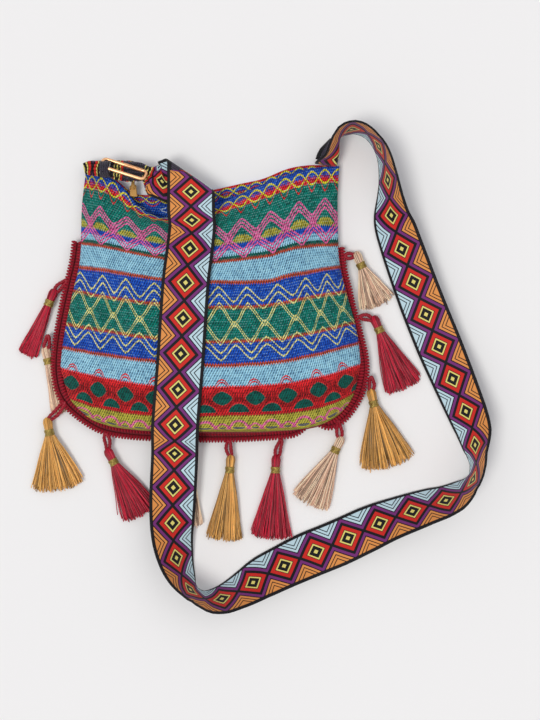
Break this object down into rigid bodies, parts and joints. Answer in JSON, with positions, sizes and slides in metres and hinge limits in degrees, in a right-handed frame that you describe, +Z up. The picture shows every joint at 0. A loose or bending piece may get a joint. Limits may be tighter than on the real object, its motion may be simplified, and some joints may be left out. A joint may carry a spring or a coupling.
{
  "type": "flat zip-top shoulder bag of patterned woven cloth with braided edge, tassels and webbing strap",
  "caption": "Flat woven shoulder bag lying on its back, with an open zip mouth, crimson braided edge, thread tassels, patterned webbing strap and metal buckle.",
  "frame": {"origin": "on the floor, under the middle of the back panel that the bag lies on", "axes": "+Z up from the floor through the bag's back to its front, +Y from the bag's bottom to its mouth, +X to the right as seen from above"},
  "size_m": [0.3894, 0.3973, 0.0392],
  "materials": {
    "cloth": "matte patterned knit-look weave in bands of blue, green, rust, red, pink and yellow",
    "lining": "plain matte cloth",
    "braid": "ribbed braid",
    "webbing": "smooth patterned webbing with black edges",
    "rose_gold": "polished",
    "zip_metal": "satin",
    "thread_crimson": "silky thread",
    "thread_beige": "silky thread",
    "thread_gold": "silky thread",
    "thread_band": "metallic thread"
  },
  "bodies": {
    "bag": {"front_panel": "cloth", "back_panel": "cloth", "lining": "lining", "edge_braid": "braid", "strap_webbing": "webbing", "strap_tab": "webbing", "buckle_frame": "rose_gold", "zip_slider": "zip_metal", "zip_teeth_front": "zip_metal", "zip_teeth_back": "zip_metal"},
    "zip_pull": {"zip_pull": "zip_metal"},
    "tassel_01": {"tassel_01_threads": "thread_crimson", "tassel_01_band": "thread_band", "tassel_01_loop": "thread_crimson"},
    "tassel_02": {"tassel_02_threads": "thread_beige", "tassel_02_band": "thread_band", "tassel_02_loop": "thread_crimson"},
    "tassel_03": {"tassel_03_threads": "thread_gold", "tassel_03_band": "thread_band", "tassel_03_loop": "thread_crimson"},
    "tassel_04": {"tassel_04_threads": "thread_crimson", "tassel_04_band": "thread_band", "tassel_04_loop": "thread_crimson"},
    "tassel_05": {"tassel_05_threads": "thread_beige", "tassel_05_band": "thread_band", "tassel_05_loop": "thread_crimson"},
    "tassel_06": {"tassel_06_threads": "thread_gold", "tassel_06_band": "thread_band", "tassel_06_loop": "thread_crimson"},
    "tassel_07": {"tassel_07_threads": "thread_crimson", "tassel_07_band": "thread_band", "tassel_07_loop": "thread_crimson"},
    "tassel_08": {"tassel_08_threads": "thread_beige", "tassel_08_band": "thread_band", "tassel_08_loop": "thread_crimson"},
    "tassel_09": {"tassel_09_threads": "thread_gold", "tassel_09_band": "thread_band", "tassel_09_loop": "thread_crimson"},
    "tassel_10": {"tassel_10_threads": "thread_crimson", "tassel_10_band": "thread_band", "tassel_10_loop": "thread_crimson"},
    "tassel_11": {"tassel_11_threads": "thread_beige", "tassel_11_band": "thread_band", "tassel_11_loop": "thread_crimson"}
  },
  "joints": [
    {"name": "zip_pull_flip", "type": "hinge", "parent": "bag", "child": "zip_pull", "pos_m": [-0.0635, 0.10109, 0.0092], "axis": [1, 0, 0], "range_deg": [0, 40]},
    {"name": "tassel_01_swing", "type": "hinge", "parent": "bag", "child": "tassel_01", "pos_m": [-0.12205, 0.02205, 0.007], "axis": [0, 0, 1], "range_deg": [-30, 1]},
    {"name": "tassel_02_swing", "type": "hinge", "parent": "bag", "child": "tassel_02", "pos_m": [-0.13526, -0.02538, 0.007], "axis": [0, 0, 1], "range_deg": [-6, 1]},
    {"name": "tassel_03_swing", "type": "hinge", "parent": "bag", "child": "tassel_03", "pos_m": [-0.123, -0.08005, 0.007], "axis": [0, 0, 1], "range_deg": [-16, 12]},
    {"name": "tassel_04_swing", "type": "hinge", "parent": "bag", "child": "tassel_04", "pos_m": [-0.08592, -0.10674, 0.007], "axis": [0, 0, 1], "range_deg": [-12, 12]},
    {"name": "tassel_05_swing", "type": "hinge", "parent": "bag", "child": "tassel_05", "pos_m": [-0.01784, -0.11271, 0.007], "axis": [0, 0, 1], "range_deg": [-6, 2.5]},
    {"name": "tassel_06_swing", "type": "hinge", "parent": "bag", "child": "tassel_06", "pos_m": [0.01574, -0.11274, 0.007], "axis": [0, 0, 1], "range_deg": [-2.5, 3]},
    {"name": "tassel_07_swing", "type": "hinge", "parent": "bag", "child": "tassel_07", "pos_m": [0.05857, -0.11188, 0.007], "axis": [0, 0, 1], "range_deg": [-3, 1]},
    {"name": "tassel_08_swing", "type": "hinge", "parent": "bag", "child": "tassel_08", "pos_m": [0.10733, -0.0957, 0.007], "axis": [0, 0, 1], "range_deg": [-4, 12]},
    {"name": "tassel_09_swing", "type": "hinge", "parent": "bag", "child": "tassel_09", "pos_m": [0.1349, -0.05993, 0.007], "axis": [0, 0, 1], "range_deg": [0, 12]},
    {"name": "tassel_10_swing", "type": "hinge", "parent": "bag", "child": "tassel_10", "pos_m": [0.12884, -0.00637, 0.007], "axis": [0, 0, 1], "range_deg": [-3, 3]},
    {"name": "tassel_11_swing", "type": "hinge", "parent": "bag", "child": "tassel_11", "pos_m": [0.11653, 0.04476, 0.007], "axis": [0, 0, 1], "range_deg": [-12, 2]}
  ]
}
